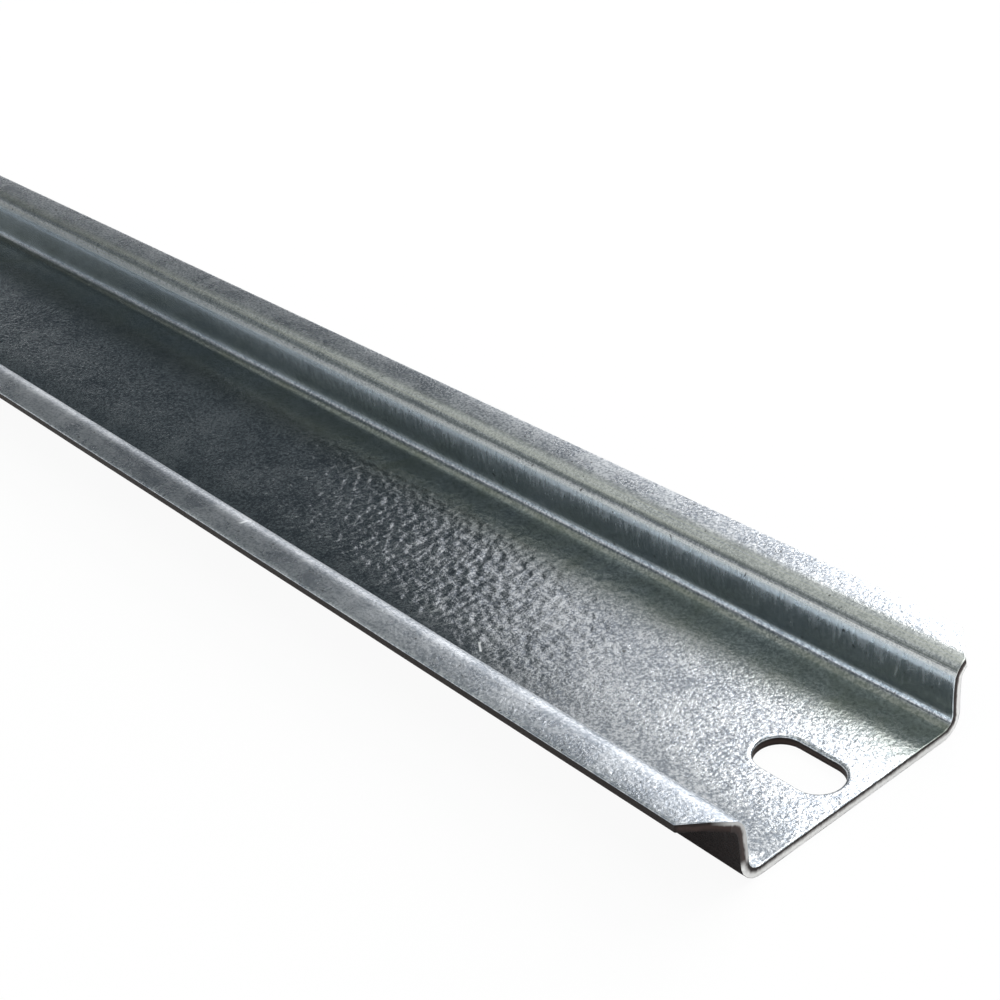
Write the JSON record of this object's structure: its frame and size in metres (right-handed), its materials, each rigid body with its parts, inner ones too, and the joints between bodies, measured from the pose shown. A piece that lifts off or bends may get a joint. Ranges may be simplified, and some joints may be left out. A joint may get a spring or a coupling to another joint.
{
  "type": "din rail",
  "caption": "Top-hat mounting rail, roll-formed from galvanised steel strip, with clipped flange corners and a fixing slot near each end.",
  "frame": {"origin": "on the underside of the base, half way along the rail and half way across it", "axes": "+X along the rail, +Y across it, +Z from the base up to the flanges"},
  "size_m": [0.3, 0.035, 0.0075],
  "materials": {
    "galvanised": "galvanised, mottled"
  },
  "bodies": {
    "root": {"rail": "galvanised"}
  },
  "joints": []
}
